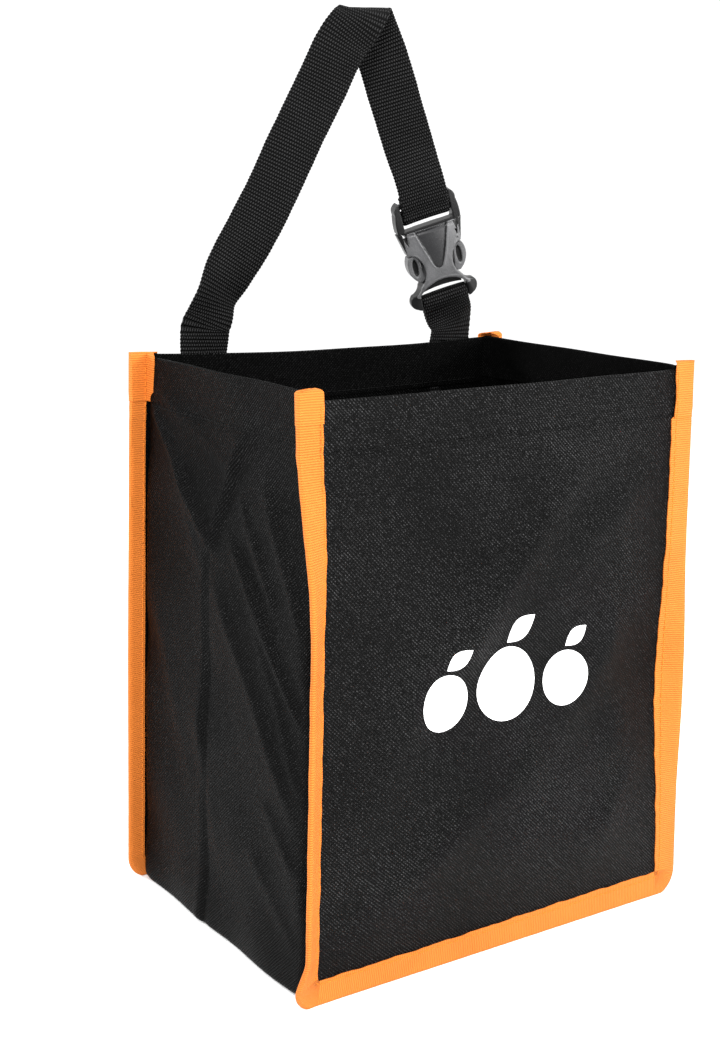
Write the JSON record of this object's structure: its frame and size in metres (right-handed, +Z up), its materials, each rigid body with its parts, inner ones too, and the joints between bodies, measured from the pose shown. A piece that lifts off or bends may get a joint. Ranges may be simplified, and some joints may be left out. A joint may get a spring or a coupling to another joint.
{
  "type": "fruit picking bag",
  "caption": "Open-topped box bag of black polyester cloth with orange-bound seams and a webbing strap that opens at a side-release buckle.",
  "frame": {"origin": "centre of the bag's footprint, on the floor it stands on", "axes": "+Z up through the open top, X along the bag's width, -Y out of the front panel"},
  "size_m": [0.22, 0.1602, 0.4265],
  "materials": {
    "cloth": "matte woven",
    "binding_tape": "ribbed grosgrain",
    "orange_thread": "matte",
    "black_thread": "matte",
    "white_print": "flat ink film",
    "webbing": "coarse ribbed weave",
    "buckle_plastic": "fine moulded texture"
  },
  "bodies": {
    "bag": {"front_panel": "cloth", "back_panel": "cloth", "gusset_strip": "cloth", "front_binding": "binding_tape", "back_binding": "binding_tape", "front_binding_stitching": "orange_thread", "back_binding_stitching": "orange_thread", "front_hem_stitching": "black_thread", "back_hem_stitching": "black_thread", "left_hem_stitching": "black_thread", "right_hem_stitching": "black_thread", "printed_mark": "white_print", "long_strap_tab": "webbing", "short_strap_tab": "webbing", "long_strap_stitching": "black_thread", "short_strap_stitching": "black_thread"},
    "strap": {"long_strap": "webbing", "short_strap": "webbing", "loop_stitching": "black_thread", "buckle_socket": "buckle_plastic"},
    "plug": {"buckle_plug": "buckle_plastic", "tail_stitching": "black_thread"},
    "left_arm": {"left_latch_arm": "buckle_plastic"},
    "right_arm": {"right_latch_arm": "buckle_plastic"}
  },
  "joints": [
    {"name": "strap_fold", "type": "hinge", "parent": "bag", "child": "strap", "pos_m": [0, 0.075, 0.269], "axis": [1, 0, 0], "range_deg": [-165, 70]},
    {"name": "buckle_release", "type": "slide", "parent": "strap", "child": "plug", "axis": [-0.3669, -0.0834, 0.9265], "range_m": [0, 0.03], "deforming": ["long_strap", "left_latch_arm", "right_latch_arm"]},
    {"name": "left_arm_press", "type": "hinge", "parent": "plug", "child": "left_arm", "pos_m": [0.04931, 0.07185, 0.31729], "axis": [-0.3025, -0.9311, -0.2036], "range_deg": [0, 13], "stiffness_Nm_per_rad": 0.02},
    {"name": "right_arm_press", "type": "hinge", "parent": "plug", "child": "right_arm", "pos_m": [0.06779, 0.0644, 0.32393], "axis": [-0.3025, -0.9311, -0.2036], "range_deg": [-13, 0], "stiffness_Nm_per_rad": 0.02}
  ],
  "couplings": [
    {"joint": "right_arm_press", "follows": "left_arm_press", "ratio": -1}
  ]
}
